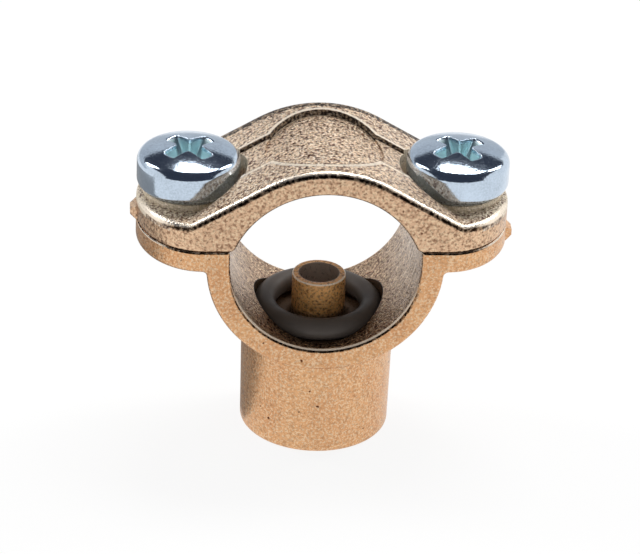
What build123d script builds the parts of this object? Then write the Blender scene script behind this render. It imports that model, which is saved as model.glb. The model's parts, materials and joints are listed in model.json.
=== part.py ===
from build123d import *
import math
import os

# Pipe tapping saddle clamp. Millimetres and degrees.
# The pipe runs along Y, the two ears point along X and the outlet boss points down.
# The shapes are drawn from the parting plane, Z = 0, and moved up at the end so that
# the origin is the centre of the boss's end face.

# Pipe and the two castings
pipe_diameter = 22.0
clamp_width = 18.7            # along the pipe
centre_drop = 1.8             # pipe axis in the saddle, below the parting plane
grip_allowance = 1.8          # height by which the closed bore is short of the pipe
strap_bore_allowance = 0.25   # strap's inner radius beyond the pipe's radius
saddle_wall = 2.7
strap_wall = 2.9
flank_angle = 30.5            # slope of the strap from crown to ear

# Ears
screw_offset = 4.6            # bore wall to screw axis
ear_overhang = 6.0            # screw axis to the tip of the ear
ear_round = 7.6               # length of the rounded end of the ear
saddle_ear = 2.6              # thickness
strap_ear = 3.3               # thickness

# Outlet boss with a parallel G 1/4 female thread, drawn at the thread's pitch diameter
boss_diameter = 17.9          # where it leaves the shell
boss_length = 14.3            # pipe's underside to the boss's end face
boss_draft = 0.8              # casting draft on the side
outlet_major = 13.157
outlet_pitch_diameter = 12.301
outlet_drill = 11.445         # the thread's minor diameter, drilled before tapping
outlet_thread = 8.6           # length of full thread
outlet_floor = 3.5            # metal between the drilled hole's end and the pipe
drill_point = 120.0           # included angle at the drilled hole's end

# Spigot and seal
spigot_diameter = 6.3
spigot_rise = 5.2             # above the pipe's underside
flow_bore = 4.8
seal_bore = 9.9               # the ring's own inner diameter
seal_section = 2.6
seal_clearance = 0.05
pocket_depth = 0.25           # flat pocket under the ring, below the pipe's underside

# Screws and tapped ears, drawn at the thread's pitch diameter
thread_major = 6.0
thread_pitch_diameter = 5.35
thread_clearance = 0.05       # radial, screw to tapped ear
shank_hole_allowance = 0.6    # strap's hole beyond the thread's major diameter
screw_length = 10.0           # under the head
screw_point = 0.6             # chamfer at the tip
head_diameter = 12.0
head_height = 5.2
head_dome_radius = 15.5
head_top_round = 1.2
head_foot_round = 1.1
head_room = 0.8               # spot face beyond the head, radial
seat_height = 0.7             # raised seat under the head
seat_margin = 0.4             # seat beyond the head's bearing face, radial

# Cross recess
recess_span = 6.9
recess_wing = 1.9
recess_depth = 3.2
recess_core = 2.6             # span of the wings at the bottom
recess_draft = 5.0
recess_corner = 0.35
left_screw_turn = -5.0        # how far each recess stands from 45 degrees
right_screw_turn = -10.0

# Shallow channel over the strap, with a deeper round field at the crown
channel_width = 6.4
channel_depth = 0.45
crown_field_diameter = 13.8
crown_field_depth = 0.7

# Roundings left by the mould and the tumbling barrel
strap_edge_round = 0.8
saddle_edge_round = 0.5
bore_edge_round = 0.5
parting_edge_round = 0.2        # saddle's outline at the parting plane
ear_root_round = 0.6
flank_root_round = 2.0
strap_foot_round = 1.0
boss_edge_round = 0.6
spigot_root_round = 0.7
spigot_rim_round = 0.2

# Broken-off casting gates, one on each half
gate_reach = 0.7
gate_width = 2.4
gate_height = 1.7
gate_slope = 35.0             # slope of its sides
gate_root = 0.6               # how deep its root runs into the ear

# Sizes that follow
pipe_radius = pipe_diameter / 2
half_width = clamp_width / 2
screw_x = pipe_radius + screw_offset
ear_tip = screw_x + ear_overhang
bore_floor = -(pipe_radius + centre_drop)
strap_rise = pipe_diameter + bore_floor - grip_allowance
strap_radius = pipe_radius + strap_bore_allowance
strap_centre = strap_rise - strap_radius
boss_foot = bore_floor - boss_length
parting_height = -boss_foot
outlet_depth = boss_length - outlet_floor
seal_radius = (seal_bore + seal_section) / 2
pocket_floor = bore_floor - pocket_depth
seat_level = strap_ear + seat_height
spare = 5.0                   # run of the cutting tools past a face
near = 1e-4                   # points closer than this are the same


def front_block(sketch):
    """Extrude a front-view sketch over the clamp's width."""
    return extrude(Plane.XZ * sketch, amount=half_width, both=True)


def pipe_cylinder(radius, height):
    """Cylinder along the pipe, longer than the clamp is wide, with its axis at a height."""
    return Pos(0, 0, height) * Rot(90, 0, 0) * Cylinder(radius, clamp_width + 2 * spare)


def clamp_outline(bottom, top):
    """Block with the clamp's outline from above: straight sides and half-ellipse ear ends."""
    round_x = ear_tip - ear_round
    outline = Rectangle(2 * round_x, clamp_width)
    for side in (-1, 1):
        outline += Pos(side * round_x, 0) * Ellipse(ear_round, half_width)
    return extrude(Pos(0, 0, bottom) * outline, amount=top - bottom)


def both_screws(tool):
    """Two copies of a tool, one on each screw axis."""
    return Pos(-screw_x, 0, 0) * tool + Pos(screw_x, 0, 0) * tool


def hole(radius, bottom, top):
    """Upright cylinder between two heights."""
    return Pos(0, 0, (bottom + top) / 2) * Cylinder(radius, top - bottom)


def thread_mouth(major, bore, level, side):
    """Countersink from a thread's major diameter down to its bore, opening upwards (1) or downwards (-1)."""
    depth = (major - bore) / 2
    low, high = (major / 2, bore / 2) if side < 0 else (bore / 2, major / 2)
    return Pos(0, 0, level - side * depth / 2) * Cone(low, high, depth)


def gate_stub(side, middle):
    """What is left of a casting gate on the tip of an ear: a stub that narrows outwards."""
    root = Plane((side * (ear_tip - gate_root), 0, middle), x_dir=(0, 1, 0), z_dir=(side, 0, 0))
    section = Rectangle(gate_width, gate_height)
    stub = extrude(root * section, amount=gate_root)
    return stub + extrude(root.offset(gate_root) * section, amount=gate_reach, taper=gate_slope)


def saddle_profile():
    """Front view of the saddle without its bore: round shell and flat ears."""
    outer = pipe_radius + saddle_wall
    shell = Pos(0, -centre_drop) * Circle(outer)
    shell -= Pos(0, outer) * Rectangle(2 * outer + spare, 2 * outer)
    shell += Pos(0, -saddle_ear / 2) * Rectangle(2 * ear_tip, saddle_ear)
    root_x = math.sqrt(outer ** 2 - (saddle_ear - centre_drop) ** 2)
    roots = [v for v in shell.vertices() if abs(abs(v.X) - root_x) < ear_root_round / 2]
    return fillet(roots, ear_root_round)


def on_face(edge):
    """Whether an edge lies on the clamp's front or back face."""
    box = edge.bounding_box()
    return abs(abs(box.min.Y) - half_width) < near and box.max.Y - box.min.Y < near


def at_level(edge, level):
    """Whether an edge lies flat at a height."""
    box = edge.bounding_box()
    return abs(box.min.Z - level) < near and abs(box.max.Z - level) < near


def along_pipe(edge):
    """Whether an edge runs straight along the pipe."""
    box = edge.bounding_box()
    return box.max.Y - box.min.Y > near and box.max.X - box.min.X < near


def saddle_casting():
    """Shell, ears and boss, with the pipe's bore cut through them."""
    lowest = bore_floor - saddle_wall - spare
    body = front_block(saddle_profile()) & clamp_outline(lowest, 0)
    rim = [e for e in body.edges() if on_face(e) or at_level(e, -saddle_ear)]
    rim = [e for e in rim if e.center().Z < -saddle_ear / 2 and not along_pipe(e)]
    body = fillet(rim, saddle_edge_round)

    slope = math.tan(math.radians(boss_draft))
    boss_rise = boss_length + pipe_radius
    foot_radius = boss_diameter / 2 - (boss_length - saddle_wall) * slope
    boss = Cone(foot_radius, foot_radius + boss_rise * slope, boss_rise)
    boss = Pos(0, 0, boss_foot + boss_rise / 2) * boss
    boss = fillet([e for e in boss.edges() if at_level(e, boss_foot)], boss_edge_round)

    body += boss
    body -= pipe_cylinder(pipe_radius, -centre_drop)
    body -= Box(pipe_diameter, clamp_width + 2 * spare, 2 * centre_drop)
    mouth = [e for e in body.edges() if on_face(e) and on_saddle_bore(e)]
    body = fillet(mouth, bore_edge_round)
    parting = [e for e in body.edges() if at_level(e, 0) and not along_pipe(e)]
    return fillet(parting, parting_edge_round)


def on_saddle_bore(edge):
    """Whether every point of an edge lies on the bore's outline: an arc with straight sides above."""
    for place in (0.1, 0.5, 0.9):
        point = edge.position_at(place)
        below = point.Z < -centre_drop
        reach = math.hypot(point.X, point.Z + centre_drop) if below else abs(point.X)
        if abs(reach - pipe_radius) > near:
            return False
    return True


def spigot():
    """Tube that enters the pipe's hole, standing on the seal pocket's floor with a rounded root."""
    radius = spigot_diameter / 2
    top = bore_floor + spigot_rise
    foot = pocket_floor - spigot_root_round
    flare = radius + 2 * spigot_root_round
    outline = Polyline((0, foot), (flare, foot), (flare, pocket_floor), (radius, pocket_floor),
                       (radius, top), (0, top), close=True)
    face = make_face(outline)
    root = [v for v in face.vertices() if abs(v.X - radius) < near and abs(v.Y - pocket_floor) < near]
    face = fillet(root, spigot_root_round)
    rim = [v for v in face.vertices() if abs(v.X - radius) < near and abs(v.Y - top) < near]
    face = fillet(rim, spigot_rim_round)
    return revolve(Plane.XZ * face, Axis.Z)


def saddle_body():
    """The lower casting, with its seal pocket, spigot, outlet and tapped ears."""
    body = saddle_casting()
    pocket_radius = seal_radius + seal_section / 2 + seal_clearance
    body -= hole(pocket_radius, pocket_floor, spare)
    body += spigot()

    drill_radius = outlet_drill / 2
    drill_top = boss_foot + outlet_depth
    flow_radius = flow_bore / 2
    point_rise = (drill_radius - flow_radius) / math.tan(math.radians(drill_point / 2))
    body -= hole(flow_radius, boss_foot - spare, bore_floor + spigot_rise + spare)
    body -= hole(drill_radius, boss_foot - spare, drill_top)
    body -= Pos(0, 0, drill_top + point_rise / 2) * Cone(drill_radius, flow_radius, point_rise)
    body -= hole(outlet_pitch_diameter / 2, boss_foot - spare, boss_foot + outlet_thread)
    body -= thread_mouth(outlet_major, outlet_pitch_diameter, boss_foot, -1)

    tapped = thread_pitch_diameter + 2 * thread_clearance
    body -= both_screws(hole(tapped / 2, -saddle_ear - spare, spare))
    body -= both_screws(thread_mouth(thread_major, tapped, -saddle_ear, -1))
    body -= both_screws(thread_mouth(thread_major, tapped, 0, 1))
    return body + gate_stub(1, gate_height / 2 - saddle_ear)


def strap_profile(sunk):
    """Front view of the strap, with its crown and flanks sunk by a depth."""
    crown = strap_radius + strap_wall - sunk
    slope = math.radians(flank_angle)
    touch = (crown * math.sin(slope), strap_centre + crown * math.cos(slope))
    foot_x = touch[0] + (touch[1] - strap_ear) / math.tan(slope)
    inner_x = math.sqrt(strap_radius ** 2 - strap_centre ** 2)
    right_side = Polyline((foot_x, strap_ear), (ear_tip, strap_ear), (ear_tip, 0), (inner_x, 0))
    left_side = Polyline((-inner_x, 0), (-ear_tip, 0), (-ear_tip, strap_ear), (-foot_x, strap_ear))
    edges = [
        ThreePointArc((-touch[0], touch[1]), (0, strap_centre + crown), touch),
        Line(touch, (foot_x, strap_ear)),
        right_side,
        ThreePointArc((inner_x, 0), (0, strap_rise), (-inner_x, 0)),
        left_side,
        Line((-foot_x, strap_ear), (-touch[0], touch[1])),
    ]
    face = make_face(edges)
    kinks = [v for v in face.vertices() if abs(abs(v.X) - foot_x) < near]
    face = fillet(kinks, flank_root_round)
    feet = [v for v in face.vertices() if abs(abs(v.X) - inner_x) < near]
    return fillet(feet, strap_foot_round)


def on_strap_bore(edge):
    """Whether an edge bounds the strap's arch on its inner side, with its rounded feet."""
    point = edge.center()
    return math.hypot(point.X, point.Z - strap_centre) < strap_radius + strap_foot_round / 2


def strap():
    """The upper casting: arch, ears, spot faces, screw seats and the channel over the arch."""
    top = strap_rise + strap_wall + spare
    body = front_block(strap_profile(0)) & clamp_outline(0, top)
    upper = [e for e in body.edges() if on_face(e) or at_level(e, strap_ear)]
    upper = [e for e in upper if not on_strap_bore(e) and not at_level(e, 0) and not along_pipe(e)]
    body = fillet(upper, strap_edge_round)
    lower = [e for e in body.edges() if at_level(e, 0) or on_face(e) and on_strap_bore(e)]
    body = fillet([e for e in lower if not along_pipe(e)], bore_edge_round)

    channel = Box(2 * ear_tip, channel_width, 2 * top)
    body -= channel - front_block(strap_profile(channel_depth))
    field = Cylinder(crown_field_diameter / 2, 2 * top)
    body -= field - front_block(strap_profile(crown_field_depth))

    seat_radius = head_diameter / 2 - head_foot_round + seat_margin
    body -= both_screws(hole(head_diameter / 2 + head_room, strap_ear, top))
    body += both_screws(hole(seat_radius, strap_ear / 2, seat_level))
    body -= both_screws(hole((thread_major + shank_hole_allowance) / 2, -spare, top))
    return body + gate_stub(-1, gate_height / 2)


def o_ring():
    """Rubber seal of round section, lying flat in its pocket round the spigot."""
    middle = pocket_floor + seal_clearance + seal_section / 2
    return Pos(0, 0, middle) * Torus(seal_radius, seal_section / 2)


def cross_recess():
    """Tapered cross whose wings also shorten with depth, its top at Z = 0."""
    wing = Rectangle(recess_span + spare, recess_wing)
    cross = wing + Rot(0, 0, 90) * wing
    inner = [v for v in cross.vertices() if abs(v.X) < recess_wing and abs(v.Y) < recess_wing]
    cross = fillet(inner, recess_corner)
    cross = extrude(cross, amount=-recess_depth, taper=recess_draft)
    reach = Cone(recess_core / 2, recess_span / 2, recess_depth)
    return cross & Pos(0, 0, -recess_depth / 2) * reach


def screw(side, turn):
    """Pan-head screw on one ear, its head down on the seat."""
    radius = head_diameter / 2
    shank = thread_pitch_diameter / 2
    dome_edge = head_height - head_dome_radius + math.sqrt(head_dome_radius ** 2 - radius ** 2)
    outline = [
        Polyline((0, -screw_length), (shank - screw_point, -screw_length),
                 (shank, screw_point - screw_length), (shank, 0), (radius, 0), (radius, dome_edge)),
        RadiusArc((radius, dome_edge), (0, head_height), -head_dome_radius),
        Line((0, head_height), (0, -screw_length)),
    ]
    face = make_face(outline)
    foot = [v for v in face.vertices() if abs(v.X - radius) < near and abs(v.Y) < near]
    face = fillet(foot, head_foot_round)
    rim = [v for v in face.vertices() if abs(v.X - radius) < near and abs(v.Y - dome_edge) < near]
    face = fillet(rim, head_top_round)
    body = revolve(Plane.XZ * face, Axis.Z)
    body -= Pos(0, 0, head_height) * Rot(0, 0, 45 + turn) * cross_recess()
    return Pos(side * screw_x, 0, seat_level) * body


pieces = {
    "saddle_body": saddle_body(),
    "strap": strap(),
    "o_ring": o_ring(),
    "screw_left": screw(-1, left_screw_turn),
    "screw_right": screw(1, right_screw_turn),
}

os.makedirs("parts", exist_ok=True)
for name, shape in pieces.items():
    export_step(Pos(0, 0, parting_height) * shape, f"parts/{name}.step")
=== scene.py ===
"""Studio scene of a pipe tapping saddle clamp: brass castings, a rubber seal and zinc-plated screws."""

import json
import math

import bpy
import numpy as np
from bpy.props import FloatProperty, FloatVectorProperty, PointerProperty
from mathutils import Matrix, Vector


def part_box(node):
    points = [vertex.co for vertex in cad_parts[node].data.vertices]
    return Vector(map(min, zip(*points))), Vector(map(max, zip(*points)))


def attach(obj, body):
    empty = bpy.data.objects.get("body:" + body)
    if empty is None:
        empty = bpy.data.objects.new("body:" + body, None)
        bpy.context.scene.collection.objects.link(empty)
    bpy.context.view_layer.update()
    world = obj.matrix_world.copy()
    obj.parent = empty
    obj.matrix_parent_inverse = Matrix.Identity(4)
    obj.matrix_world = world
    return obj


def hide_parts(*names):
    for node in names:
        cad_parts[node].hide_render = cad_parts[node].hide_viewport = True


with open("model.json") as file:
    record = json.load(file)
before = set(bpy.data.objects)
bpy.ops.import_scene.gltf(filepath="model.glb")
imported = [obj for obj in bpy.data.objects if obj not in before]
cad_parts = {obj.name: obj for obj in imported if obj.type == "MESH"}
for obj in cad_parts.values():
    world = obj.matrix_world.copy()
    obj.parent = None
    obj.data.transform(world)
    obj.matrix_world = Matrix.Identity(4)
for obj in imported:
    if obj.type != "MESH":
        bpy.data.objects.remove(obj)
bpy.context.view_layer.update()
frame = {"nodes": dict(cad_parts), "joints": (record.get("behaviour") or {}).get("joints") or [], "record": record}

bl_info = {
    "name": "Pipe Tapping Saddle Clamp",
    "version": (1, 0, 0),
    "blender": (4, 5, 0),
    "location": "View3D > Sidebar > Clamp",
    "description": "Dresses the castings, seal and screws of a saddle clamp and sets up its studio",
    "category": "Object",
}

MM = 0.001
SIDES = ("left", "right")
JOINTS = {joint["name"]: joint for joint in frame["joints"]}
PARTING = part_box("strap")[0].z                       # height at which the two castings meet
PIPE_AXIS = next(m for m in frame["record"]["mounts"] if m["name"] == "pipe_seat")["pos_m"][2]
SCREW_X = JOINTS["screw_right_turn"]["pos_m"][0]
SEAT = JOINTS["screw_right_turn"]["pos_m"][2]        # underside of the screw heads
SCREW_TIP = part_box("screw_left")[0].z
HEAD_RADIUS = (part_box("screw_left")[1].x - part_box("screw_left")[0].x) / 2
RECESS_REACH = 3.6 * MM                              # just outside the wings of the cross recess
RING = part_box("o_ring")
SPOT_FACE = HEAD_RADIUS + 0.85 * MM                  # radius of the spot faces round the heads
SKIN_FOOT = PARTING + 2.2 * MM                       # lowest height of the strap's upper side
END_ROUND = 8 * MM                                   # from the middle to the rounding of the end faces
BORE_RADIUS = 11 * MM                                # pipe's bore
CHANNEL_HALF = 3.2 * MM                              # half the width of the channel over the strap
FIELD_RADIUS = 6.9 * MM                              # round field at the strap's crown
WATER_WAY = 2.45 * MM                                # just outside the bore through the spigot
HAIR = 0.02 * MM                                     # floor below the clamp's foot, floor card above it
CARD_DISTANCE = 1.3                                  # from the clamp to the ceiling and back cards, in metres
LOOK_AT = Vector((0.13 * MM, 0, 18.853 * MM))        # point in the middle of the picture


def linear(hex_colour):
    """Linear RGB of an sRGB hex colour such as "d3a77c"."""
    values = (int(hex_colour[i:i + 2], 16) / 255 for i in (0, 2, 4))
    return tuple(v / 12.92 if v <= 0.04045 else ((v + 0.055) / 1.055) ** 2.4 for v in values)


def length(name, description, size):
    """Property for a length, its default given in millimetres."""
    return FloatProperty(name=name, description=description, default=size * MM, unit="LENGTH", precision=5)


def angle(name, description, degrees):
    """Property for an angle, its default given in degrees."""
    return FloatProperty(name=name, description=description, default=math.radians(degrees), subtype="ANGLE")


def colour(name, description, hex_colour):
    """Property for a colour, its default given as an sRGB hex value."""
    return FloatVectorProperty(name=name, description=description, default=linear(hex_colour),
                               subtype="COLOR", size=3, min=0, max=1)


class ScrewSizes(bpy.types.PropertyGroup):
    """Pan-head screw with a metric thread and a cross recess."""

    head_height: length("Head height", "Bearing face to the top of the dome", 5.2)
    dome_radius: length("Dome radius", "Radius of the head's domed top", 15.5)
    rim_round: length("Rim rounding", "Rounding between the dome and the head's side", 1.2)
    foot_round: length("Foot rounding", "Rounding between the head's side and its bearing face", 1.1)
    thread_major: length("Thread diameter", "Outer diameter of the thread", 6)
    thread_minor: length("Core diameter", "Diameter at the thread's root", 4.773)
    pitch: length("Pitch", "Rise of the thread in one turn", 1)
    point: length("Point", "Chamfer at the screw's tip", 0.6)
    recess_span: length("Recess span", "Cross recess from wing tip to wing tip", 6.9)
    recess_wing: length("Wing width", "Width of the recess's wings at the top", 1.9)
    recess_depth: length("Recess depth", "Depth of the recess under the dome's top", 3.2)
    recess_core: length("Recess core", "Span of the wings at the recess's floor", 2.6)
    recess_corner: length("Recess corner", "Rounding between neighbouring wings", 0.35)
    recess_lip: length("Recess lip", "Rounding of the recess's edge", 0.16)
    recess_draft: angle("Recess draft", "Slope of the recess's walls", 5)
    turn_left: angle("Left screw turn", "How far the left screw's recess stands from 45 degrees", -5)
    turn_right: angle("Right screw turn", "How far the right screw's recess stands from 45 degrees", -10)


class TappedThreadSizes(bpy.types.PropertyGroup):
    """Threads cut in the saddle: the pipe thread in the outlet and the metric ones in the ears."""

    outlet_pitch: length("Outlet pitch", "Pitch of the outlet's pipe thread", 1.337)
    outlet_bore: length("Outlet bore", "Pitch diameter of the outlet's thread, to which it is bored", 12.301)
    outlet_minor: length("Outlet minor", "Minor diameter of the outlet's thread", 11.445)
    outlet_start: length("Outlet start", "Height at which the outlet's thread starts", 0.8)
    outlet_end: length("Outlet end", "Height at which the outlet's thread ends", 8.6)
    outlet_flank: angle("Outlet flank", "Slope of the pipe thread's flanks", 27.5)
    ear_thickness: length("Ear thickness", "Thickness of the saddle's ears", 2.6)
    ear_bore: length("Ear bore", "Diameter of the bores through the ears", 5.45)
    ear_minor: length("Ear minor", "Minor diameter of the threads in the ears", 4.917)
    ear_below: length("Lead-in below", "Plain bore below an ear's thread", 0.4)
    ear_above: length("Lead-in above", "Plain bore above an ear's thread", 0.3)
    ear_flank: angle("Ear flank", "Slope of the metric thread's flanks", 30)
    sink: length("Sink", "How deep a ridge's root lies in the metal", 0.08)


class FinishColours(bpy.types.PropertyGroup):
    """Colours of the three materials."""

    brass: colour("Brass", "Tumbled cast brass of the saddle", "ebba88")
    brass_red: colour("Red brass", "Redder patches of the casting", "d79d70")
    brass_pale: colour("Pale brass", "Paler tumbled brass of the strap", "e4c2a3")
    brass_skin: colour("Cast skin", "Skin on the strap's upper side, which tumbling hardly reaches", "dfc3a4")
    brass_bored: colour("Bored brass", "Scraped wall of the pipe's bore", "eedfd4")
    # Painted shade on the ears under the heads, and grime in the bore's scraping marks
    brass_shade_and_grime: colour("Grime", "Old grease in the hollows", "7d6a4e")
    # Painted shade in the seal's pocket
    brass_pocket_shade: colour("Sump", "Grease and dark oxide in the seal's pocket", "54402f")
    brass_limed: colour("Limed brass", "Wall of the hole through the spigot", "b3a396")
    brass_cut: colour("Cut brass", "Spot-faced brass round the screw heads", "eee0c4")
    # Darker brown towards the bore's floor
    brass_brown: colour("Brown brass", "Unscraped floor of the bore", "a67e58")
    brass_gold: colour("Gold", "Bare yellow brass of the spigot", "f0b060")
    brass_pit: colour("Pits", "Floor of the casting's pits, with red oxide", "5b3019")
    # Painted shade in lines under the edges and in the seam
    brass_painted_shade: colour("Oxide", "Dark oxide left under the edges and in the seam", "2b1c12")
    # Bright grains, partly painted glints
    brass_grain: colour("Grains", "Grains burnished by tumbling", "f6dab6")
    # Painted highlight on the upper edges and painted glints on the skin; also the bright scraping marks in the
    # bore
    brass_edge: colour("Edges", "Edges burnished by tumbling", "fff0dc")
    zinc: colour("Zinc", "Blue-passivated zinc plate", "cbdaea")
    zinc_recess: colour("Recess zinc", "Greener passivation in the cross recess", "cfe6ea")
    rubber: colour("Rubber", "Nitrile rubber", "5a524c")


class StudioSizes(bpy.types.PropertyGroup):
    """Camera and lamps."""

    azimuth: angle("Azimuth", "Camera's turn round the clamp, 0 looking along the pipe", -4.776)
    elevation: angle("Elevation", "Camera's height above the horizon", 29.112)
    roll: angle("Roll", "Camera's roll about its line of sight", 2.46)
    distance: length("Distance", "Camera to the point that it looks at", 439.43)
    lens: FloatProperty(name="Lens", description="Focal length in mm on a 36 mm sensor", default=210.27)
    softbox_power: FloatProperty(name="Softbox", description="Watts of the overhead softbox", default=5.0)
    strip_power: FloatProperty(name="Strips", description="Watts of each side strip", default=2.5)
    floor_size: length("Floor size", "Side of the square floor", 6000)


def surface(name, points, material, closed=False, capped=False):
    """Mesh object from a grid of points, rows along the path and columns round the profile.

    Each cell of the grid is a quad. A closed grid's last column joins its first, and a capped one
    has a face across its first and its last row."""
    rows, columns = points.shape[:2]
    index = np.arange(rows * columns).reshape(rows, columns)
    if closed:
        index = np.hstack((index, index[:, :1]))
    quads = np.stack((index[:-1, :-1], index[:-1, 1:], index[1:, 1:], index[1:, :-1]), axis=-1)
    faces = quads.reshape(-1, 4).tolist()
    if capped:
        faces += [index[0, :columns][::-1].tolist(), index[-1, :columns].tolist()]
    mesh = bpy.data.meshes.new(name)
    mesh.from_pydata(points.reshape(-1, 3).tolist(), [], faces)
    mesh.shade_smooth()
    mesh.materials.append(material)
    made = bpy.data.objects.new(name, mesh)
    bpy.context.scene.collection.objects.link(made)
    return made


def smooth_step(x):
    """3x² - 2x³ between 0 and 1, flat outside."""
    x = np.clip(x, 0, 1)
    return x * x * (3 - 2 * x)


def add(tree, kind, inputs=None, **settings):
    """Add a node with its settings; an input takes a value, a socket's link or a node's first live output."""
    node = tree.nodes.new(kind)
    for name, value in settings.items():
        setattr(node, name, value)
    for key, value in (inputs or {}).items():
        if isinstance(value, bpy.types.Node):
            value = next(socket for socket in value.outputs if socket.enabled)
        if isinstance(value, bpy.types.NodeSocket):
            tree.links.new(value, node.inputs[key])
        else:
            node.inputs[key].default_value = value
    return node


def new_material(name):
    """Empty node material, its node tree and its output node."""
    material = bpy.data.materials.new(name)
    material.use_nodes = True
    tree = material.node_tree
    tree.nodes.clear()
    return material, tree, tree.nodes.new("ShaderNodeOutputMaterial")


def brass_measures(tree, place):
    """Places and slopes on the castings, from which their regions are told apart.

    side, along and height are the coordinates, and outward is the distance from the middle along the pipe.
    from_pipe, from_outlet and from_screw are distances from the axes of the pipe, the outlet and the nearer
    screw. lift and endwise are the parts of the normal that point up and along the pipe."""
    axes = add(tree, "ShaderNodeSeparateXYZ", {0: place})
    facing = add(tree, "ShaderNodeSeparateXYZ", {0: add(tree, "ShaderNodeNewGeometry").outputs["Normal"]})
    across = add(tree, "ShaderNodeVectorMath", {0: place, 1: (1, 0, 1)}, operation="MULTIPLY")
    flat = add(tree, "ShaderNodeVectorMath", {0: place, 1: (1, 1, 0)}, operation="MULTIPLY")
    folded = add(tree, "ShaderNodeVectorMath", {0: flat}, operation="ABSOLUTE")
    pipe, screw = (0, 0, PIPE_AXIS), (SCREW_X, 0, 0)
    return {
        "side": axes.outputs["X"],
        "along": axes.outputs["Y"],
        "height": axes.outputs["Z"],
        "outward": add(tree, "ShaderNodeMath", {0: axes.outputs["Y"]}, operation="ABSOLUTE"),
        "from_pipe": add(tree, "ShaderNodeVectorMath", {0: across, 1: pipe}, operation="DISTANCE"),
        "from_outlet": add(tree, "ShaderNodeVectorMath", {0: flat}, operation="LENGTH"),
        "from_screw": add(tree, "ShaderNodeVectorMath", {0: folded, 1: screw}, operation="DISTANCE"),
        "lift": facing.outputs["Z"],
        "endwise": add(tree, "ShaderNodeMath", {0: facing.outputs["Y"]}, operation="ABSOLUTE"),
    }


def bore_regions(tree, at):
    """Masks from 0 to 1 for the pipe's bore and for what stands in its floor.

    bore is the wall and deep its lower half. pocket is what lies round the way, which is the hole to the
    outlet: well is the seal's seat there, and spigot the rest, the tube and the outlet's wall."""
    inside = add(tree, "ShaderNodeMapRange", {
        0: at["from_pipe"], 1: BORE_RADIUS + 0.4 * MM, 2: BORE_RADIUS + 0.2 * MM})
    sideways = add(tree, "ShaderNodeMapRange", {0: at["endwise"], 1: 0.7, 2: 0.4})
    wall = add(tree, "ShaderNodeMath", {0: inside, 1: sideways}, operation="MULTIPLY")
    near_outlet = add(tree, "ShaderNodeMath", {0: at["from_outlet"], 1: RING[1].x + 0.1 * MM},
                      operation="LESS_THAN")
    under_axis = add(tree, "ShaderNodeMath", {0: at["height"], 1: PIPE_AXIS}, operation="LESS_THAN")
    beside_way = add(tree, "ShaderNodeMath", {0: at["from_outlet"], 1: WATER_WAY}, operation="GREATER_THAN")
    round_way = add(tree, "ShaderNodeMath", {0: near_outlet, 1: beside_way}, operation="MULTIPLY")
    pocket = add(tree, "ShaderNodeMath", {0: round_way, 1: under_axis}, operation="MULTIPLY")
    bore = add(tree, "ShaderNodeMath", {0: wall, 1: pocket}, operation="SUBTRACT", use_clamp=True)
    # The bore's lower half is coloured darker brown towards its floor.
    sunk = add(tree, "ShaderNodeMapRange", {0: at["height"], 1: PIPE_AXIS - 1 * MM, 2: PIPE_AXIS - 8 * MM})
    low_wall = add(tree, "ShaderNodeMath", {0: bore, 1: sunk}, operation="MULTIPLY")
    deep = add(tree, "ShaderNodeMath", {0: low_wall, 1: beside_way}, operation="MULTIPLY")

    # The seal's seat in the pocket, which gets painted shade.
    low = add(tree, "ShaderNodeMapRange", {0: at["height"], 1: RING[0].z + 1.6 * MM, 2: RING[0].z + 0.5 * MM})
    rim = add(tree, "ShaderNodeMath", {0: at["from_outlet"], 1: RING[1].x - 0.2 * MM},
              operation="GREATER_THAN")
    shut_in = add(tree, "ShaderNodeMath", {0: low, 1: rim}, operation="MAXIMUM")
    over_outlet = add(tree, "ShaderNodeMath", {0: at["height"], 1: RING[0].z - 0.2 * MM},
                      operation="GREATER_THAN")
    in_bore = add(tree, "ShaderNodeMath", {0: pocket, 1: over_outlet}, operation="MULTIPLY")
    well = add(tree, "ShaderNodeMath", {0: in_bore, 1: shut_in}, operation="MULTIPLY")
    spigot = add(tree, "ShaderNodeMath", {0: pocket, 1: well}, operation="SUBTRACT", use_clamp=True)
    way = add(tree, "ShaderNodeMath", {0: under_axis, 1: beside_way}, operation="SUBTRACT", use_clamp=True)
    return {"bore": bore, "deep": deep, "pocket": pocket, "spigot": spigot, "well": well, "way": way}


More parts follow.
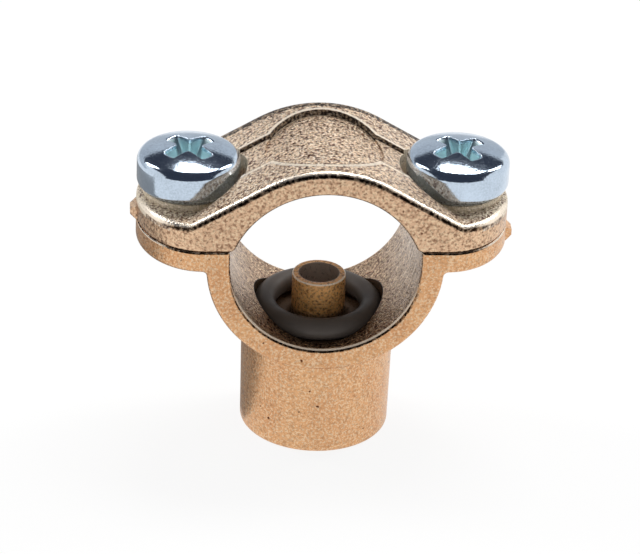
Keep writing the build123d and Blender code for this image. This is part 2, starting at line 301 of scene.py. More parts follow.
def strap_regions(tree, at, bore):
    """Masks from 0 to 1 for the upper casting.

    strap is all of it, topside its upper part within the end faces, and skin that part without the bore.
    seat is the ears round the screw heads, which get painted shade, cut the spot faces there, cut_wall their
    upright sides, and sheltered the arch's flanks beside the heads."""
    strap = add(tree, "ShaderNodeMath", {0: at["height"], 1: PARTING}, operation="GREATER_THAN")
    high = add(tree, "ShaderNodeMath", {0: at["height"], 1: SKIN_FOOT}, operation="GREATER_THAN")
    above = add(tree, "ShaderNodeMapRange", {0: at["lift"], 1: 0.45, 2: 0.85},
                interpolation_type="SMOOTHSTEP")
    within = add(tree, "ShaderNodeMath", {0: at["outward"], 1: END_ROUND}, operation="LESS_THAN")
    cast = add(tree, "ShaderNodeMath", {0: above, 1: within}, operation="MAXIMUM")
    topside = add(tree, "ShaderNodeMath", {0: cast, 1: high}, operation="MULTIPLY")
    skin = add(tree, "ShaderNodeMath", {0: topside, 1: bore}, operation="SUBTRACT", use_clamp=True)

    # Painted shade on the ears round the screw heads.
    near_head = add(tree, "ShaderNodeMapRange", {
        0: at["from_screw"], 1: HEAD_RADIUS + 1.9 * MM, 2: HEAD_RADIUS + 0.6 * MM})
    at_seat = add(tree, "ShaderNodeMath", {0: at["height"], 1: SEAT + 0.1 * MM}, operation="LESS_THAN")
    low_skin = add(tree, "ShaderNodeMath", {0: skin, 1: at_seat}, operation="MULTIPLY")
    seat = add(tree, "ShaderNodeMath", {0: near_head, 1: low_skin}, operation="MULTIPLY")
    flank = add(tree, "ShaderNodeMapRange", {
        0: at["from_screw"], 1: HEAD_RADIUS + 5.5 * MM, 2: HEAD_RADIUS + 2 * MM})
    sheltered = add(tree, "ShaderNodeMath", {0: flank, 1: skin}, operation="MULTIPLY")
    cutter = add(tree, "ShaderNodeMath", {0: at["from_screw"], 1: SPOT_FACE}, operation="LESS_THAN")
    cut = add(tree, "ShaderNodeMath", {0: cutter, 1: skin}, operation="MULTIPLY")
    cut_wall = add(tree, "ShaderNodeMath", {0: cut, 1: above}, operation="SUBTRACT", use_clamp=True)
    return {"strap": strap, "topside": topside, "skin": skin, "seat": seat, "cut": cut, "cut_wall": cut_wall,
            "sheltered": sheltered}


def channel_regions(tree, at, region):
    """Masks from 0 to 1 along the sides of the strap's channel and of the round field at its crown.

    With bank the distance out from the nearer side, wall is the side itself, brink a fine line of painted shade
    along it, and crest a painted highlight on the edge outside it."""
    beside = add(tree, "ShaderNodeMath", {0: at["outward"], 1: CHANNEL_HALF}, operation="SUBTRACT")
    around_field = add(tree, "ShaderNodeMath", {0: at["from_outlet"], 1: FIELD_RADIUS}, operation="SUBTRACT")
    bank = add(tree, "ShaderNodeMath", {0: beside, 1: around_field}, operation="MINIMUM")
    arch_skin = add(tree, "ShaderNodeMath", {0: region["skin"], 1: region["cut"]}, operation="SUBTRACT",
                    use_clamp=True)
    lines = {}
    for name, middle, half_width in (("wall", 0.0, 0.25), ("brink", 0.0, 0.07), ("crest", 0.36, 0.2)):
        near = add(tree, "ShaderNodeMath", {0: bank, 1: middle * MM, 2: half_width * MM}, operation="COMPARE")
        lines[name] = add(tree, "ShaderNodeMath", {0: near, 1: arch_skin}, operation="MULTIPLY")
    return lines


def edge_regions(tree, at, region):
    """Masks from 0 to 1 for the castings' edges and the lines along them.

    edge is a painted highlight on the rounded upper edges of the end faces, on the crests beside the strap's
    channel and on the spigot's lip, where tumbling also burnishes them. shade is painted shade in lines under
    those edges and on the far edge of the arch, channel_wall the sides of the channel, and seam painted shade in
    the groove between the castings, fainter on the right."""
    channel = channel_regions(tree, at, region)
    # Painted highlight on rounded edges that face up and out, on the channel's crests and on the spigot's lip;
    # tumbling also burnishes them.
    bend = add(tree, "ShaderNodeMapRange", {0: at["endwise"], 1: 0.10, 2: 0.25})
    before = add(tree, "ShaderNodeMapRange", {0: at["endwise"], 1: 0.74, 2: 0.62})
    rising = add(tree, "ShaderNodeMapRange", {0: at["lift"], 1: 0.15, 2: 0.35})
    turned = add(tree, "ShaderNodeMath", {0: bend, 1: before}, operation="MULTIPLY")
    raised = add(tree, "ShaderNodeMath", {0: turned, 1: rising}, operation="MULTIPLY")
    lip_low = add(tree, "ShaderNodeMapRange", {0: at["lift"], 1: 0.2, 2: 0.45})
    lip_high = add(tree, "ShaderNodeMapRange", {0: at["lift"], 1: 0.97, 2: 0.88})
    lip = add(tree, "ShaderNodeMath", {0: lip_low, 1: lip_high}, operation="MULTIPLY")
    spigot_lip = add(tree, "ShaderNodeMath", {0: region["spigot"], 1: lip}, operation="MULTIPLY")
    edge = add(tree, "ShaderNodeMath", {0: raised, 1: region["well"]}, operation="SUBTRACT", use_clamp=True)
    for burnished in (channel["crest"], spigot_lip):
        edge = add(tree, "ShaderNodeMath", {0: edge, 1: burnished}, operation="MAXIMUM")

    # Painted shade in a line under the front edges, along the arch's far edge and on the channel's brink.
    after = add(tree, "ShaderNodeMapRange", {0: at["endwise"], 1: 0.66, 2: 0.76})
    until = add(tree, "ShaderNodeMapRange", {0: at["endwise"], 1: 0.985, 2: 0.94})
    sloping = add(tree, "ShaderNodeMapRange", {0: at["lift"], 1: 0.08, 2: 0.2})
    under = add(tree, "ShaderNodeMath", {0: after, 1: until}, operation="MULTIPLY")
    front_line = add(tree, "ShaderNodeMath", {0: under, 1: sloping}, operation="MULTIPLY")
    far = add(tree, "ShaderNodeMapRange", {0: at["along"], 1: END_ROUND - 0.3 * MM, 2: END_ROUND - 0.1 * MM})
    far_line = add(tree, "ShaderNodeMath", {0: far, 1: region["topside"]}, operation="MULTIPLY")
    lines = add(tree, "ShaderNodeMath", {0: front_line, 1: far_line}, operation="MAXIMUM")
    lines = add(tree, "ShaderNodeMath", {0: lines, 1: channel["brink"]}, operation="MAXIMUM")
    shade = add(tree, "ShaderNodeMath", {0: lines, 1: region["pocket"]}, operation="SUBTRACT", use_clamp=True)

    # Painted shade in the seam between the castings, fainter towards the right end.
    from_parting = add(tree, "ShaderNodeMath", {0: at["height"], 1: PARTING}, operation="SUBTRACT")
    gap = add(tree, "ShaderNodeMath", {0: from_parting}, operation="ABSOLUTE")
    close = add(tree, "ShaderNodeMapRange", {0: gap, 1: 0.13 * MM, 2: 0.07 * MM})
    steep = add(tree, "ShaderNodeMath", {0: at["lift"]}, operation="ABSOLUTE")
    upright = add(tree, "ShaderNodeMath", {0: steep, 1: 0.97}, operation="LESS_THAN")
    joint = add(tree, "ShaderNodeMath", {0: close, 1: upright}, operation="MULTIPLY")
    seam_strength = add(tree, "ShaderNodeMapRange", {
        0: at["side"], 1: SCREW_X + 1 * MM, 2: SCREW_X + 4 * MM, 3: 1.0, 4: 0.3})
    seam = add(tree, "ShaderNodeMath", {0: joint, 1: seam_strength}, operation="MULTIPLY")
    return {"edge": edge, "shade": shade, "channel_wall": channel["wall"], "seam": seam}


def brass_regions(tree, place):
    """Masks from 0 to 1 for the parts of the castings that look unlike their tumbled outer faces."""
    at = brass_measures(tree, place)
    region = bore_regions(tree, at)
    region.update(strap_regions(tree, at, region["bore"]))
    region.update(edge_regions(tree, at, region))
    return region


def sand_grain(tree, place):
    """Texture that the mould leaves, from 0 to 1: grain, coarser sand, and pits where sand was torn off.

    Grains are 0.22 mm wide and sand 0.35 mm. Three in ten cells 1.1 mm apart hold a pit of up to 0.4 mm."""
    grain = add(tree, "ShaderNodeTexNoise", {"Vector": place, "Scale": 1 / (0.22 * MM), "Detail": 1.0})
    sand = add(tree, "ShaderNodeTexNoise", {"Vector": place, "Scale": 1 / (0.35 * MM), "Detail": 3.0})
    torn = add(tree, "ShaderNodeVectorMath", {0: sand.outputs["Color"], 1: (0.5 * MM,) * 3, 2: place},
               operation="MULTIPLY_ADD")
    cells = add(tree, "ShaderNodeTexVoronoi", {"Vector": torn, "Scale": 1 / (1.1 * MM)})
    lot = add(tree, "ShaderNodeSeparateColor", {0: cells.outputs["Color"]})
    width = add(tree, "ShaderNodeMapRange", {0: lot.outputs[0], 1: 0.3, 2: 0.0, 3: 0.0, 4: 0.2})
    depth = add(tree, "ShaderNodeMath", {0: width, 1: cells.outputs["Distance"]}, operation="SUBTRACT")
    pits = add(tree, "ShaderNodeMapRange", {0: depth, 1: 0.0, 2: 0.08})
    return {"grain": grain, "sand": sand, "pits": pits}


def scraping_marks(tree, place):
    """Marks in the bore, from 0 to 1: 0.25 mm apart along the pipe and long round it."""
    axes = add(tree, "ShaderNodeSeparateXYZ", {0: place})
    over_parting = add(tree, "ShaderNodeMath", {0: axes.outputs["Z"], 1: PARTING}, operation="SUBTRACT")
    turn = add(tree, "ShaderNodeMath", {0: axes.outputs["X"], 1: over_parting}, operation="ARCTAN2")
    around = add(tree, "ShaderNodeMath", {0: turn, 1: 1.2 * MM}, operation="MULTIPLY")
    unrolled = add(tree, "ShaderNodeCombineXYZ", {0: axes.outputs["Y"], 1: around})
    return add(tree, "ShaderNodeTexNoise", {"Vector": unrolled, "Scale": 1 / (0.25 * MM), "Detail": 2.0})


def brass_specks(tree, region, coarse, mould):
    """Shares of burnished grains that are partly painted glints, of painted glints on the skin, and of dark ones
    between them.

    They are stronger where tumbling hardly reaches. The walls of the spot faces and of the channel, and the
    spigot, have fewer dark ones."""
    bright = add(tree, "ShaderNodeMapRange", {0: mould["grain"], 1: 0.5, 2: 0.6, 4: 0.9})
    dark = add(tree, "ShaderNodeMapRange", {0: mould["sand"], 1: 0.56, 2: 0.34, 4: 0.8})
    untumbled = region["strap"]
    for name in ("bore", "spigot"):
        untumbled = add(tree, "ShaderNodeMath", {0: untumbled, 1: region[name]}, operation="MAXIMUM")
    rougher = add(tree, "ShaderNodeMath", {0: coarse, 1: untumbled}, operation="ADD")
    glints = add(tree, "ShaderNodeMapRange", {0: rougher, 2: 2.0, 3: 0.7, 4: 1.0})
    burnished = add(tree, "ShaderNodeMath", {0: bright, 1: glints}, operation="MULTIPLY")
    # Painted glints: bright grains on the skin in the edge colour.
    painted_glints = add(tree, "ShaderNodeMath", {0: bright, 1: region["skin"]}, operation="MULTIPLY")
    specks = add(tree, "ShaderNodeMapRange", {0: rougher, 2: 2.0, 3: 0.45, 4: 1.35})
    dark_share = add(tree, "ShaderNodeMath", {0: dark, 1: specks}, operation="MULTIPLY")
    for name, left in (("cut_wall", 0.1), ("channel_wall", 0.3), ("spigot", 0.6)):
        share = add(tree, "ShaderNodeMapRange", {0: region[name], 3: 1.0, 4: left})
        dark_share = add(tree, "ShaderNodeMath", {0: dark_share, 1: share}, operation="MULTIPLY")
    return burnished, painted_glints, dark_share


def brass_tone(tree, finish, place, region, coarse, mould, marks):
    """Colour of the castings: 4 mm patches, each region's own, then grains with painted glints, marks, pits,
    painted highlights on edges and painted shade in lines.
    """
    patch = add(tree, "ShaderNodeTexNoise", {"Vector": place, "Scale": 1 / (4 * MM), "Detail": 2.0})
    tone = add(tree, "ShaderNodeMix", {0: patch, 6: (*finish.brass, 1), 7: (*finish.brass_red, 1)},
               data_type="RGBA")
    layers = []
    # The seat layer is painted shade under the heads; deep is darker brown towards the bore's floor.
    for name, hue, amount in (("strap", finish.brass_pale, 0.75), ("skin", finish.brass_skin, 0.95),
                              ("bore", finish.brass_bored, 1.0), ("deep", finish.brass_brown, 0.85),
                              ("seat", finish.brass_shade_and_grime, 0.85), ("cut", finish.brass_cut, 0.8)):
        part = add(tree, "ShaderNodeMath", {0: region[name], 1: amount}, operation="MULTIPLY")
        layers.append((part, hue))

    burnished, painted_glints, dark_share = brass_specks(tree, region, coarse, mould)
    gilt = add(tree, "ShaderNodeMath", {0: region["spigot"], 1: 0.75}, operation="MULTIPLY")
    low_marks = add(tree, "ShaderNodeMapRange", {0: marks, 1: 0.5, 2: 0.36, 4: 0.6})
    scored = add(tree, "ShaderNodeMath", {0: low_marks, 1: region["bore"]}, operation="MULTIPLY")
    high_marks = add(tree, "ShaderNodeMapRange", {0: marks, 1: 0.5, 2: 0.62, 4: 0.8})
    pale_wall = add(tree, "ShaderNodeMath", {0: region["bore"], 1: region["deep"]}, operation="SUBTRACT",
                    use_clamp=True)
    scraped_bright = add(tree, "ShaderNodeMath", {0: high_marks, 1: pale_wall}, operation="MULTIPLY")
    # Painted shade in lines under the edges and in the seam, broken up by the sand.
    broken = add(tree, "ShaderNodeMapRange", {0: mould["sand"], 1: 0.62, 2: 0.45, 3: 0.45, 4: 1.0})
    line = add(tree, "ShaderNodeMath", {0: region["shade"], 1: broken}, operation="MULTIPLY")
    groove = add(tree, "ShaderNodeMath", {0: region["seam"], 1: broken}, operation="MULTIPLY")
    # Bright grains are partly painted glints, the skin's white grains are painted glints, the edge is a painted
    # highlight and the well painted shade.
    layers += [
        (burnished, finish.brass_grain),
        (painted_glints, finish.brass_edge),
        (gilt, finish.brass_gold),
        (dark_share, finish.brass_pit),
        (scored, finish.brass_shade_and_grime),
        (scraped_bright, finish.brass_edge),
        (mould["pits"], finish.brass_pit),
        (region["edge"], finish.brass_edge),
        (line, finish.brass_painted_shade),
        (groove, finish.brass_painted_shade),
        (region["way"], finish.brass_limed),
        (region["well"], finish.brass_pocket_shade),
    ]
    for part, hue in layers:
        tone = add(tree, "ShaderNodeMix", {0: part, 6: tone, 7: (*hue, 1)}, data_type="RGBA")
    return tone


def bare_metal(tree, region):
    """How far the brass is bare, from 1 to 0.25 where tarnish or dust scatters the light."""
    tarnish = region["cut"]
    worn = add(tree, "ShaderNodeMath", {0: region["edge"], 1: region["strap"]}, operation="SUBTRACT",
               use_clamp=True)
    dusty = add(tree, "ShaderNodeMath", {0: region["sheltered"], 1: region["edge"]}, operation="SUBTRACT",
                use_clamp=True)
    for dull in (worn, dusty, region["spigot"], region["way"], region["well"], region["channel_wall"]):
        tarnish = add(tree, "ShaderNodeMath", {0: tarnish, 1: dull}, operation="MAXIMUM")
    return add(tree, "ShaderNodeMapRange", {0: tarnish, 3: 1.0, 4: 0.25})


def cast_brass(finish):
    """Sand-cast brass, tumbled: warm gold with a sandy grain of dark and bright specks, the bright ones partly
    painted glints, and a few red pits.

    Tumbling doesn't reach everywhere: the strap's upper side keeps a rougher skin, and the bore is scraped pale
    above and turns darker brown towards its floor. Painted shade darkens the ears under the heads and the seal's
    pocket, and a dull tarnish scatters light on the spigot, the spot faces, the channel's walls and the flanks
    beside the heads. The upper edges carry a painted highlight where tumbling also burnishes them, with painted
    shade in a line under them and in the seam."""
    material, tree, output = new_material("tumbled_cast_brass")
    place = add(tree, "ShaderNodeTexCoord").outputs["Object"]
    region = brass_regions(tree, place)
    mould = sand_grain(tree, place)
    marks = scraping_marks(tree, place)
    coarse = region["skin"]
    for name in ("bore", "seat", "spigot"):
        coarse = add(tree, "ShaderNodeMath", {0: coarse, 1: region[name]}, operation="MAXIMUM")
    coarse = add(tree, "ShaderNodeMath", {0: coarse, 1: region["edge"]}, operation="SUBTRACT", use_clamp=True)
    tone = brass_tone(tree, finish, place, region, coarse, mould, marks)

    rise = add(tree, "ShaderNodeMath", {0: mould["grain"], 1: mould["sand"]}, operation="ADD")
    cast_height = add(tree, "ShaderNodeMath", {0: rise, 1: mould["pits"]}, operation="SUBTRACT")
    scraped = add(tree, "ShaderNodeMath", {0: region["bore"], 1: 0.5}, operation="MULTIPLY")
    height = add(tree, "ShaderNodeMix", {0: scraped, 2: cast_height, 3: marks}, data_type="FLOAT")
    relief = add(tree, "ShaderNodeMapRange", {0: coarse, 3: 0.25, 4: 1.0})
    bump = add(tree, "ShaderNodeBump", {"Strength": relief, "Distance": 0.15 * MM, "Height": height})
    polish = add(tree, "ShaderNodeMapRange", {0: mould["sand"], 1: 0.3, 2: 0.7, 3: 0.24, 4: 0.42})
    rubbed = region["bore"]
    for name in ("cut", "spigot"):
        rubbed = add(tree, "ShaderNodeMath", {0: rubbed, 1: region[name]}, operation="MAXIMUM")
    raw = add(tree, "ShaderNodeMath", {0: coarse, 1: rubbed}, operation="SUBTRACT", use_clamp=True)
    matt = add(tree, "ShaderNodeMath", {0: raw, 1: 0.02}, operation="MULTIPLY")
    rough = add(tree, "ShaderNodeMath", {0: polish, 1: matt}, operation="ADD")
    shader = add(tree, "ShaderNodeBsdfPrincipled", {
        "Base Color": tone, "Metallic": bare_metal(tree, region), "Roughness": rough, "Normal": bump})
    tree.links.new(shader.outputs[0], output.inputs["Surface"])
    return material


def zinc_plate(finish, head_top):
    """Bright zinc plate with blue passivation: a cool mirror, slightly grainy and duller in the recess."""
    material, tree, output = new_material("blue_zinc_plate")
    place = add(tree, "ShaderNodeTexCoord").outputs["Object"]
    axes = add(tree, "ShaderNodeSeparateXYZ", {0: place})
    flat = add(tree, "ShaderNodeVectorMath", {0: place, 1: (1, 1, 0)}, operation="MULTIPLY")
    folded = add(tree, "ShaderNodeVectorMath", {0: flat}, operation="ABSOLUTE")
    from_axis = add(tree, "ShaderNodeVectorMath", {0: folded, 1: (SCREW_X, 0, 0)}, operation="DISTANCE")
    inner = add(tree, "ShaderNodeMath", {0: from_axis, 1: RECESS_REACH}, operation="LESS_THAN")
    sunk = add(tree, "ShaderNodeMapRange", {
        0: axes.outputs["Z"], 1: head_top - 0.4 * MM, 2: head_top - 0.7 * MM})
    in_head = add(tree, "ShaderNodeMath", {0: axes.outputs["Z"], 1: SEAT}, operation="GREATER_THAN")
    middle = add(tree, "ShaderNodeMath", {0: inner, 1: in_head}, operation="MULTIPLY")
    recess = add(tree, "ShaderNodeMath", {0: middle, 1: sunk}, operation="MULTIPLY")
    grain = add(tree, "ShaderNodeTexNoise", {"Vector": place, "Scale": 1 / (0.25 * MM), "Detail": 3.0})
    cloud = add(tree, "ShaderNodeTexNoise", {"Vector": place, "Scale": 1 / (2.5 * MM), "Detail": 2.0})
    shade = (*[c * 0.8 for c in finish.zinc], 1)
    mottle = add(tree, "ShaderNodeMath", {0: cloud, 1: grain, 2: -0.1}, operation="MULTIPLY_ADD")
    blend = add(tree, "ShaderNodeMapRange", {0: mottle, 1: 0.0, 2: 0.3})
    plate = add(tree, "ShaderNodeMix", {0: blend, 6: (*finish.zinc, 1), 7: shade}, data_type="RGBA")
    tone = add(tree, "ShaderNodeMix", {0: recess, 6: plate, 7: (*finish.zinc_recess, 1)}, data_type="RGBA")
    polish = add(tree, "ShaderNodeMapRange", {0: grain, 1: 0.3, 2: 0.7, 3: 0.07, 4: 0.18})
    rough = add(tree, "ShaderNodeMix", {0: recess, 2: polish, 3: 0.4}, data_type="FLOAT")
    bump = add(tree, "ShaderNodeBump", {"Strength": 0.5, "Distance": 0.015 * MM, "Height": grain})
    shader = add(tree, "ShaderNodeBsdfPrincipled", {
        "Base Color": tone, "Metallic": 1.0, "Roughness": rough, "Normal": bump})
    tree.links.new(shader.outputs[0], output.inputs["Surface"])
    return material


def nitrile_rubber(finish):
    """Moulded nitrile rubber: near black, satin, with a faint bloom."""
    material, tree, output = new_material("moulded_nitrile_rubber")
    place = add(tree, "ShaderNodeTexCoord").outputs["Object"]
    grain = add(tree, "ShaderNodeTexNoise", {"Vector": place, "Scale": 1 / (0.2 * MM), "Detail": 2.0})
    bloom = add(tree, "ShaderNodeTexNoise", {"Vector": place, "Scale": 1 / (2 * MM), "Detail": 3.0})
    shade = (*[c * 0.7 for c in finish.rubber], 1)
    tone = add(tree, "ShaderNodeMix", {0: bloom, 6: (*finish.rubber, 1), 7: shade}, data_type="RGBA")
    rough = add(tree, "ShaderNodeMapRange", {0: bloom, 1: 0.3, 2: 0.7, 3: 0.42, 4: 0.55})
    bump = add(tree, "ShaderNodeBump", {"Strength": 0.15, "Distance": 0.02 * MM, "Height": grain})
    shader = add(tree, "ShaderNodeBsdfPrincipled", {
        "Base Color": tone, "Roughness": rough, "IOR": 1.52, "Specular IOR Level": 0.3, "Normal": bump})
    tree.links.new(shader.outputs[0], output.inputs["Surface"])
    return material


def dress(node, material):
    """Give a CAD node its material."""
    slots = frame["nodes"][node].material_slots
    slots[0].material = material


def cross_outline(sizes, around, depth):
    """Radius of the cross recess in each direction, at each depth under the dome's top.

    A wing's half width h and reach R shrink with depth. A ray leaves through the wing's end at R, through
    its side at h / sin(turn from the wing), or between wings through the corner's arc of radius c, whose
    centre stands h + c from both wings. End and side are joined by a soft minimum."""
    half = sizes.recess_wing / 2 - depth * math.tan(sizes.recess_draft)
    reach = sizes.recess_span / 2 - depth / sizes.recess_depth * (sizes.recess_span - sizes.recess_core) / 2
    corner = sizes.recess_corner
    quarter = math.pi / 2
    turn = np.abs((around + quarter / 2) % quarter - quarter / 2)
    side = half / np.maximum(np.sin(turn), 1e-6)
    centre = math.sqrt(2) * (half + corner)
    across = centre * np.sin(quarter / 2 - turn)
    arc = centre * np.cos(quarter / 2 - turn) - np.sqrt(np.maximum(corner ** 2 - across ** 2, 0))
    side = np.where(turn > np.arctan2(half, half + corner), arc, side)
    softness = 14
    return (side ** -softness + reach ** -softness) ** (-1 / softness)


def thread_radius(sizes, around, height):
    """Radius of the threaded shank: a 60 degree ridge that climbs one pitch a turn.

    With a the distance along the axis from the ridge's middle, the radius falls from the major to the
    minor one over the flank's width, from a crest of an eighth of the pitch. Under the head the ridge
    runs out to the blank's diameter, and a cone cuts the tip."""
    major, minor = sizes.thread_major / 2, sizes.thread_minor / 2
    blank = (major + minor) / 2
    half_crest, half_angle = sizes.pitch / 16, math.radians(30)
    plain_turns = 0.3                                # of the shank under the head
    flank = (major - minor) * math.tan(half_angle)
    phase = (height / sizes.pitch - around / (2 * math.pi)) % 1
    from_middle = np.abs(phase - 0.5) * sizes.pitch
    ridge = np.clip((half_crest + flank - from_middle) / flank, 0, 1)
    threaded = minor + (major - minor) * ridge
    run_out = smooth_step((SEAT - height) / sizes.pitch - plain_turns)
    threaded = blank + (threaded - blank) * run_out
    tip = minor - sizes.point / 2 + (height - SCREW_TIP)
    return np.minimum(threaded, tip)


def screw_points(sizes, turn):
    """Closed surface of a screw standing on the Z axis, as rings of points from its tip to its recess.

    From the recess's floor the rings climb its wall, bend over its lip, follow the dome, the rim's arc, the
    side and the foot's arc, cross the bearing face and go down the thread; the grid takes them in reverse."""
    columns, wall_rows, lip_rows, dome_rows, arc_rows, thread_rows = 288, 14, 7, 14, 10, 160
    lip_sink = 0.25 * MM                             # depth at which the recess's walls would meet its lip
    floor_hub = 0.3                                  # share of the recess's floor inside its first ring
    around = np.linspace(0, 2 * math.pi, columns, endpoint=False)[None, :]
    wings = around - turn - math.pi / 4
    top = SEAT + sizes.head_height

    def dome_drop(radius):
        return sizes.dome_radius - np.sqrt(sizes.dome_radius ** 2 - radius ** 2)

    floor = cross_outline(sizes, wings, sizes.recess_depth)
    lip = cross_outline(sizes, wings, lip_sink)
    lip_depth = dome_drop(lip)
    depth = np.linspace(1, 0, wall_rows)[:, None] * (sizes.recess_depth - lip_depth - sizes.recess_lip)
    depth = depth + lip_depth + sizes.recess_lip
    wall = cross_outline(sizes, wings, depth)
    bend = np.linspace(0, 1, lip_rows)[1:-1, None]
    over = lip + sizes.recess_lip
    bend_r = (1 - bend) ** 2 * wall[-1:] + 2 * bend * (1 - bend) * lip + bend ** 2 * over
    bend_d = (1 - bend) ** 2 * depth[-1:] + 2 * bend * (1 - bend) * lip_depth + bend ** 2 * dome_drop(over)

    rim = sizes.rim_round
    arc_x = HEAD_RADIUS - rim
    arc_z = math.sqrt((sizes.dome_radius - rim) ** 2 - arc_x ** 2) - sizes.dome_radius
    start = math.atan2(arc_x, arc_z + sizes.dome_radius)
    dome = over + np.linspace(0, 1, dome_rows)[:, None] * (sizes.dome_radius * math.sin(start) - over)
    bow = np.linspace(start, math.pi / 2, arc_rows)[1:, None]
    foot = np.linspace(0, math.pi / 2, arc_rows)[:, None]
    foot_x = HEAD_RADIUS - sizes.foot_round

    flat = np.ones_like(around)
    shank_z = np.linspace(SEAT, SCREW_TIP, thread_rows)[:, None] * flat
    shank_r = thread_radius(sizes, around, shank_z)
    rings = [
        (floor * floor_hub, top - sizes.recess_depth * flat),
        (wall, top - depth),
        (bend_r, top - bend_d),
        (dome, top - dome_drop(dome)),
        ((arc_x + rim * np.sin(bow)) * flat, (top + arc_z + rim * np.cos(bow)) * flat),
        ((foot_x + sizes.foot_round * np.cos(foot)) * flat,
         (SEAT + sizes.foot_round * (1 - np.sin(foot))) * flat),
        (shank_r, shank_z),
    ]
    radius = np.vstack([r for r, z in rings])
    height = np.vstack([z for r, z in rings])
    return np.stack((radius * np.cos(around), radius * np.sin(around), height), axis=-1)[::-1]


def ridge_points(pitch, bore, minor, low, high, sink, flank, start):
    """Helical ridge on a bore's wall: a trapezium with its root sunk in the metal, carried round the helix.

    At turn t the section's middle stands at height low + pitch * t. The ridge rises from the wall over its
    first half turn and sinks back over its last."""
    rows_per_turn = 96
    least_rise = 0.02                                # keeps the ridge's ends from closing to a point
    turns = (high - low) / pitch
    t = np.linspace(0, turns, int(turns * rows_per_turn))[:, None]
    rise = np.maximum(smooth_step(2 * t) * smooth_step(2 * (turns - t)), least_rise)
    root, crest = bore / 2 + sink, minor / 2
    half_pitch_line = pitch / 4
    half_crest = half_pitch_line - (bore - minor) / 2 * math.tan(flank)
    half_root = half_pitch_line + sink * math.tan(flank)
    shoulder = 0.25 * half_crest
    section_r = np.array([root, crest + shoulder, crest, crest, crest + shoulder, root])[None, :]
    section_z = np.array([-half_root, -half_crest - shoulder / 2, -half_crest + shoulder,
                          half_crest - shoulder, half_crest + shoulder / 2, half_root])[None, :]
    radius = root + rise * (section_r - root)
    height = low + pitch * t + rise * section_z
    around = 2 * math.pi * t + start
    return np.stack((radius * np.cos(around), radius * np.sin(around), height), axis=-1)


class CLAMP_OT_castings(bpy.types.Operator):
    """Finish the saddle and the strap in tumbled cast brass"""

    bl_idname = "clamp.castings"
    bl_label = "Castings"

    def execute(self, context):
        brass = cast_brass(context.scene.clamp_finish)
        dress("saddle_body", brass)
        dress("strap", brass)
        return {"FINISHED"}


class CLAMP_OT_tapped_threads(bpy.types.Operator):
    """Cut the pipe thread in the outlet and the metric threads in the ears"""

    bl_idname = "clamp.tapped_threads"
    bl_label = "Tapped threads"

    def execute(self, context):
        sizes, screw = context.scene.clamp_threads, context.scene.clamp_screw
        brass = bpy.data.materials["tumbled_cast_brass"]
        outlet = ridge_points(sizes.outlet_pitch, sizes.outlet_bore, sizes.outlet_minor, sizes.outlet_start,
                              sizes.outlet_end, sizes.sink, sizes.outlet_flank, start=0.0)
        made = [surface("outlet_thread", outlet, brass, closed=True, capped=True)]
        for name in SIDES:
            axis = np.array([JOINTS[f"screw_{name}_turn"]["pos_m"][0], 0, 0])
            low = PARTING - sizes.ear_thickness + sizes.ear_below
            high = PARTING - sizes.ear_above
            start = (low / screw.pitch) % 1 * 2 * math.pi
            ear = ridge_points(screw.pitch, sizes.ear_bore, sizes.ear_minor, low, high, sizes.sink,
                               sizes.ear_flank, start)
            made.append(surface(f"ear_thread_{name}", ear + axis, brass, closed=True, capped=True))
        for ridge in made:
            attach(ridge, "saddle")
        return {"FINISHED"}


class CLAMP_OT_seal(bpy.types.Operator):
    """Finish the seal ring in moulded rubber"""

    bl_idname = "clamp.seal"
    bl_label = "Seal ring"

    def execute(self, context):
        dress("o_ring", nitrile_rubber(context.scene.clamp_finish))
        return {"FINISHED"}


class CLAMP_OT_screws(bpy.types.Operator):
    """Make both screws, with their rolled threads and cross recesses"""

    bl_idname = "clamp.screws"
    bl_label = "Screws"

    def execute(self, context):
        sizes = context.scene.clamp_screw
        zinc = zinc_plate(context.scene.clamp_finish, SEAT + sizes.head_height)
        for name, turn in zip(SIDES, (sizes.turn_left, sizes.turn_right)):
            axis = np.array([JOINTS[f"screw_{name}_turn"]["pos_m"][0], 0, 0])
            points = screw_points(sizes, turn) + axis
            screw = surface(f"pan_screw_{name}", points, zinc, closed=True, capped=True)
            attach(screw, f"screw_{name}")
            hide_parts(f"screw_{name}")
        return {"FINISHED"}


class CLAMP_OT_studio(bpy.types.Operator):
    """Set up the white floor, the lamps, the cards and the camera"""

    bl_idname = "clamp.studio"
    bl_label = "Studio"

    def execute(self, context):
        sizes = context.scene.clamp_studio
        set_world(context.scene)
        white_floor(sizes)
        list(cards())
        lamps(sizes)
        set_camera(context.scene, sizes)
        context.scene.view_settings.view_transform = "Standard"
        return {"FINISHED"}


def seen_directly(tree):
    """1 on camera, glossy and transmission rays, which show the white background; 0 on diffuse rays."""
    path = add(tree, "ShaderNodeLightPath")
    either = add(tree, "ShaderNodeMath", {0: path.outputs["Is Camera Ray"], 1: path.outputs["Is Glossy Ray"]},
                 operation="MAXIMUM")
    return add(tree, "ShaderNodeMath", {0: either, 1: path.outputs["Is Transmission Ray"]},
               operation="MAXIMUM")


def set_world(scene):
    """White surround, which lights the clamp softly at a part of its own brightness."""
    world = bpy.data.worlds.new("white_surround")
    world.use_nodes = True
    scene.world = world
    tree = world.node_tree
    tree.nodes.clear()
    strength = add(tree, "ShaderNodeMapRange", {0: seen_directly(tree), 3: 0.45, 4: 1.0})
    white = add(tree, "ShaderNodeBackground", {"Color": (1, 1, 1, 1), "Strength": strength})
    tree.links.new(white.outputs[0], add(tree, "ShaderNodeOutputWorld").inputs["Surface"])


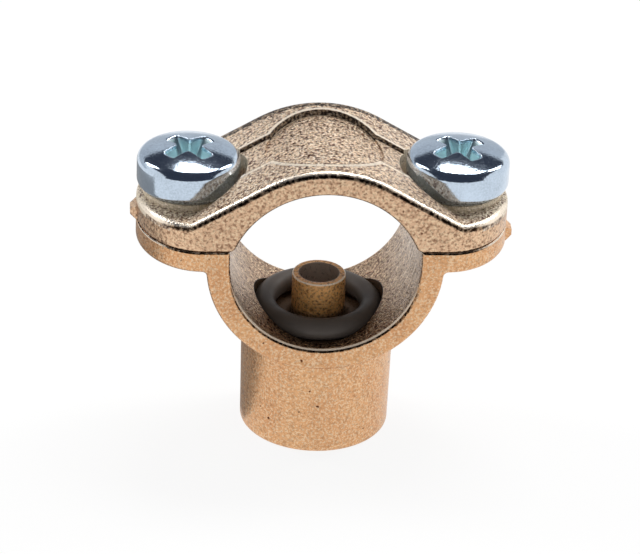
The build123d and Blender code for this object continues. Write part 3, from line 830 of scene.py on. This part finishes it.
def white_floor(sizes):
    """Flat square under the clamp, white where it is seen, with the clamp's soft shadow."""
    material, tree, output = new_material("matt_white_floor")
    paper = add(tree, "ShaderNodeBsdfDiffuse", {"Color": (0.9, 0.9, 0.9, 1)})
    glow = add(tree, "ShaderNodeEmission", {"Color": (1, 1, 1, 1), "Strength": 1.0})
    share = add(tree, "ShaderNodeMath", {0: seen_directly(tree), 1: 0.88}, operation="MULTIPLY")
    both = add(tree, "ShaderNodeMixShader", {0: share, 1: paper, 2: glow})
    tree.links.new(both.outputs[0], output.inputs["Surface"])
    reach = np.linspace(-0.5, 0.5, 3) * sizes.floor_size
    x, y = np.meshgrid(reach, reach)
    return surface("floor", np.stack((x, y, np.full_like(x, -HAIR)), axis=-1), material)


def card(name, points, grey):
    """Plain card that shows only in the metal's reflections, with its own even grey."""
    material, tree, output = new_material(f"{name}_paper")
    paper = add(tree, "ShaderNodeEmission", {"Color": (*linear(grey), 1), "Strength": 1.0})
    tree.links.new(paper.outputs[0], output.inputs["Surface"])
    placed = surface(name, points, material)
    placed.visible_camera = False
    placed.visible_shadow = False
    placed.visible_diffuse = False
    return placed


def vault(low, high, left, right):
    """Part of a sphere round the clamp, as a band over it from back to front.

    A point at elevation e over the back horizon and angle w to the right stands at
    CARD_DISTANCE * (sin w, cos w cos e, cos w sin e)."""
    steps = 25
    w, e = np.meshgrid(np.radians(np.linspace(left, right, steps)), np.radians(np.linspace(low, high, steps)))
    points = np.stack((np.sin(w), np.cos(w) * np.cos(e), np.cos(w) * np.sin(e)), axis=-1)
    return CARD_DISTANCE * points + np.array([0, 0, PARTING])


def floor_fan(start, end, inner, outer):
    """Part of a ring lying on the floor: a point at azimuth a and radius r stands at (r sin a, r cos a)."""
    steps, rings = 25, 9
    a, r = np.meshgrid(np.radians(np.linspace(start, end, steps)), np.linspace(inner, outer, rings) * MM)
    return np.stack((r * np.sin(a), r * np.cos(a), np.full_like(r, HAIR)), axis=-1)


def cards():
    """Dark ceiling, grey backdrop and grey floor card, which the bright metal reflects."""
    return [
        card("ceiling_card", vault(low=34, high=178, left=-52, right=52), "3a3f4b"),
        card("back_card", vault(low=-12, high=34, left=-75, right=26), "cdd1d6"),
        card("floor_card", floor_fan(start=-98, end=-21, inner=9.5, outer=95), "a0a0a0"),
    ]


def lamp(name, toward, width, height, power):
    """Area lamp a metre from the clamp, in front of the dark ceiling and turned to the clamp."""
    light = bpy.data.lights.new(name, "AREA")
    light.shape = "RECTANGLE"
    light.size, light.size_y = width, height
    light.energy = power
    placed = bpy.data.objects.new(name, light)
    placed.location = Vector((0, 0, PARTING)) + toward.normalized()
    placed.rotation_euler = toward.to_track_quat("Z", "Y").to_euler()
    bpy.context.scene.collection.objects.link(placed)


def lamps(sizes):
    """Softbox above and behind the clamp, and a strip on each side that draws the sloping edges."""
    lamp("softbox", Vector((0.15, 0.36, 0.92)), width=0.58, height=0.26, power=sizes.softbox_power)
    for name, side in zip(SIDES, (-0.65, 0.65)):
        lamp(f"strip_{name}", Vector((side, 0.36, 0.65)), width=0.2, height=0.4, power=sizes.strip_power)


def set_camera(scene, sizes):
    """Camera on the photograph's line of sight: azimuth, elevation, then a roll about that line."""
    a, e = sizes.azimuth, sizes.elevation
    back = Vector((math.sin(a) * math.cos(e), -math.cos(a) * math.cos(e), math.sin(e)))
    right = Vector((math.cos(a), math.sin(a), 0))
    up = back.cross(right)
    turned = right * math.cos(sizes.roll) + up * math.sin(sizes.roll)
    lens = bpy.data.cameras.new("camera")
    lens.lens = sizes.lens
    lens.sensor_width = 36.0
    camera = bpy.data.objects.new("camera", lens)
    axes = Matrix((turned, back.cross(turned), back)).transposed()
    camera.matrix_world = Matrix.Translation(LOOK_AT + back * sizes.distance) @ axes.to_4x4()
    scene.collection.objects.link(camera)
    scene.camera = camera


class VIEW3D_PT_clamp(bpy.types.Panel):
    """Steps that dress the clamp, with their sizes and colours"""

    bl_label = "Saddle Clamp"
    bl_space_type = "VIEW_3D"
    bl_region_type = "UI"
    bl_category = "Clamp"

    def draw(self, context):
        for step in STEPS:
            self.layout.operator(step.bl_idname)
        for group in GROUPS:
            settings = getattr(context.scene, group)
            for name in settings.__annotations__:
                self.layout.prop(settings, name)


GROUPS = {
    "clamp_screw": ScrewSizes,
    "clamp_threads": TappedThreadSizes,
    "clamp_finish": FinishColours,
    "clamp_studio": StudioSizes,
}
STEPS = (CLAMP_OT_castings, CLAMP_OT_tapped_threads, CLAMP_OT_seal, CLAMP_OT_screws, CLAMP_OT_studio)


def register():
    for kind in (*GROUPS.values(), *STEPS, VIEW3D_PT_clamp):
        bpy.utils.register_class(kind)
    for name, group in GROUPS.items():
        setattr(bpy.types.Scene, name, PointerProperty(type=group))


def unregister():
    for name in GROUPS:
        delattr(bpy.types.Scene, name)
    for kind in (VIEW3D_PT_clamp, *STEPS, *GROUPS.values()):
        bpy.utils.unregister_class(kind)


def main():
    """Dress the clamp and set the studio."""
    register()
    bpy.ops.clamp.castings()
    bpy.ops.clamp.tapped_threads()
    bpy.ops.clamp.seal()
    bpy.ops.clamp.screws()
    bpy.ops.clamp.studio()


if __name__ == "__main__":
    main()
